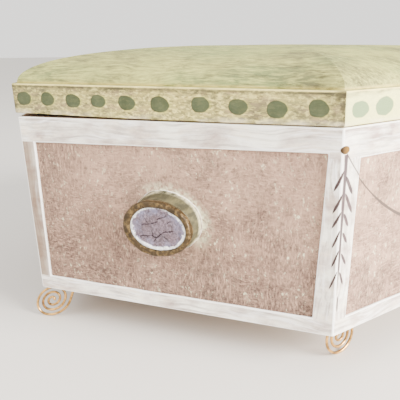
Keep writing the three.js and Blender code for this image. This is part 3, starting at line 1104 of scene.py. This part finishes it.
# Stone: a shallow crown with a raised, ragged white edge, in millimetres; edgePlace and edgeWidth are
# shares of the way from the middle to the outline
crown = {"steps": 39, "overlap": 0.3, "sunk": 0.9, "rise": 0.5, "edge": 0.45, "edgePlace": 0.9,
         "edgeWidth": 0.06, "rough": 0.5}
stone = bmesh.new()
stoneLength = knob["halfLength"] - knob["rim"] + crown["overlap"]
stoneHeight = knob["halfHeight"] - knob["rim"] + crown["overlap"]
stations = [(stoneLength, stoneHeight, reach - knob["bezelDepth"] + crown["overlap"], knob["openingShift"])]
for step in range(crown["steps"] + 1):
    radius = 1 - 0.97 * step / crown["steps"]
    bump = crown["edge"] * math.exp(-((radius - crown["edgePlace"]) / crown["edgeWidth"]) ** 2)
    lift = crown["rise"] * (1 - radius ** 2) - crown["sunk"] + bump
    stations.append((stoneLength * radius, stoneHeight * radius, reach + lift, knob["openingShift"]))
ovalStack(stone, stations)
for vertex in stone.verts:
    if vertex.co.z > (reach - 1.6) * mm:
        across = vertex.co.x - knob["openingShift"] * mm
        flat = Vector((across / stoneLength, vertex.co.y / stoneHeight)) / mm
        edge = 1.0 if 0.8 < flat.length < 0.97 else 0.35
        vertex.co.z += noise.noise(vertex.co * 900) * crown["rough"] * mm * edge
knobPiece(stone, "knobStone", stoneSkin, shift=bezelShift, replaced=["knob_stone"])
print("knob done")

# Wire feet: a flat spiral that rises straight at its outer end; start and end are its radii. In mm
foot = {"wire": 1.35, "start": 0.8, "end": 10.075, "turns": 3.5, "stepsPerTurn": 40, "bend": 0.35}
# Each foot's heading is the direction its outer end points in, in degrees; lean shears the spiral sideways
feet = {
    "right": {"heading": 135, "lean": 0.05},
    "back_right": {"heading": 195, "lean": -0.08},
    "back_left": {"heading": 255, "lean": 0.1},
    "left": {"heading": 315, "lean": 0.12},
    "front_left": {"heading": 15, "lean": 0.4, "turns": 3.0},
    "front_right": {"heading": 62, "lean": -0.12, "shift": (-1.0, 0.0), "turns": 2.75},
}


def coilRadius(turns, turned):
    return (foot["start"] + (foot["end"] - foot["start"]) * turned / turns) * mm


def footPath(turns, height):
    # points in the spiral's own plane: x outwards, z up, from the inner end to the top of the stem
    points = []
    count = round(turns * foot["stepsPerTurn"])
    for step in range(count + 1):
        turned = turns * step / count
        radius = coilRadius(turns, turned)
        angle = 2 * math.pi * (turned - turns)
        points.append(Vector((radius * math.cos(angle), 0, radius * math.sin(angle))))
    end = points[-1]
    for share in (0.25, 0.5, 0.75, 1.0):
        points.append(Vector((end.x, 0, height * share)))
    return points


for number, (name, own) in enumerate(feet.items()):
    stance = {**foot, "shift": (0, 0), **own}
    turns = stance["turns"]
    node = "foot_" + name
    vertices = [vertex.co for vertex in nodes[node].data.vertices]
    topZ = max(co.z for co in vertices)
    stem = [co for co in vertices if co.z > topZ - 0.01 * mm]
    stemTop = sum(stem, Vector()) / len(stem)
    heading = Matrix.Rotation(math.radians(stance["heading"]), 4, "Z")
    centre = stemTop - heading @ Vector((foot["end"] * mm, 0, 0))
    centre.xy += Vector(stance["shift"]) * mm
    # the lowest point lies a quarter turn before the outer end
    centre.z = coilRadius(turns, turns - 0.25) + foot["wire"] / 2 * mm
    points = footPath(turns, wallLow.z - centre.z)
    curve = bpy.data.curves.new("wire", "CURVE")
    curve.dimensions = "3D"
    curve.bevel_depth = foot["wire"] / 2 * mm
    curve.bevel_resolution = 4
    curve.use_fill_caps = True
    spline = curve.splines.new("POLY")
    spline.points.add(len(points) - 1)
    for slotPoint, co in zip(spline.points, points):
        bend = noise.noise_vector(co * 60 + Vector((number * 5, 0, 0))) * foot["bend"] * mm
        bend.z = 0 if co.z < -centre.z + 2 * mm else bend.z * 0.5
        sheared = stance["lean"] * min(co.z, 8 * mm)
        spot = co + Vector((bend.x * 0.6 + sheared, bend.y, bend.z))
        slotPoint.co = (*spot, 1)
    holder = bpy.data.objects.new("holder", curve)
    mesh = bpy.data.meshes.new_from_object(holder)
    bm = bmesh.new()
    bm.from_mesh(mesh)
    weld(bm, 0.01)
    bmesh.ops.transform(bm, matrix=Matrix.Translation(centre) @ heading, verts=bm.verts)
    bpy.data.objects.remove(holder)
    bpy.data.curves.remove(curve)
    bpy.data.meshes.remove(mesh)
    finishPiece(bm, "wireFoot_" + name, brass, replaced=[node])
repaint(["floor"], wood)
print("feet done")

# Floor, light and camera, in metres
setting = {
    "floorHalf": 14.0,
    "floorTone": (214, 210, 204),
    "worldTone": (238, 236, 232),
    "worldStrength": 2.0,
}
ground = bmesh.new()
bmesh.ops.create_grid(ground, x_segments=1, y_segments=1, size=setting["floorHalf"])
plainFloor = newMaterial("plainFloor", 0.8)[0]
current["shader"].inputs["Base Color"].default_value = paint(*setting["floorTone"])
makeObject(ground, "ground", plainFloor)

world = bpy.data.worlds.new("studio")
bpy.context.scene.world = world
world.use_nodes = True
background = world.node_tree.nodes["Background"]
background.inputs["Color"].default_value = paint(*setting["worldTone"])
background.inputs["Strength"].default_value = setting["worldStrength"]

lamps = {
    "key": {"place": (1.35, -0.32, 0.55), "size": 0.8, "power": 132.0, "tone": (255, 250, 243)},
    "fill": {"place": (-0.7, -1.1, 0.9), "size": 1.2, "power": 16.0, "tone": (252, 250, 250)},
}
for name, lamp in lamps.items():
    light = bpy.data.lights.new(name, "AREA")
    light.energy = lamp["power"]
    light.size = lamp["size"]
    light.color = paint(*lamp["tone"])[:3]
    holder = bpy.data.objects.new(name, light)
    holder.location = lamp["place"]
    aim = Vector((0, 0, 0.07)) - holder.location
    holder.rotation_euler = aim.to_track_quat("-Z", "Y").to_euler()
    bpy.context.scene.collection.objects.link(holder)

# The camera stands to the right of the knob and looks down a little; lengths in metres, angles in degrees
view = {"place": (0.12211, -0.35567, 0.12013), "turn": 22.63, "pitch": 20.43, "roll": -0.95, "lens": 49.76,
        "shiftX": -0.0765, "shiftY": 0.1385}
cameraData = bpy.data.cameras.new("camera")
cameraData.lens = view["lens"]
cameraData.sensor_width = 36
cameraData.shift_x = view["shiftX"]
cameraData.shift_y = view["shiftY"]
cameraData.clip_start = 0.01
camera = bpy.data.objects.new("camera", cameraData)
bpy.context.scene.collection.objects.link(camera)
spot = middle + Vector(view["place"]) + Vector((0, 0, wallLow.z))
heading = Matrix.Rotation(math.radians(view["turn"]), 4, "Z")
down = Matrix.Rotation(math.radians(90 - view["pitch"]), 4, "X")
roll = Matrix.Rotation(math.radians(view["roll"]), 4, "Z")
camera.matrix_world = Matrix.Translation(spot) @ heading @ down @ roll
bpy.context.scene.camera = camera
print("light and camera done")
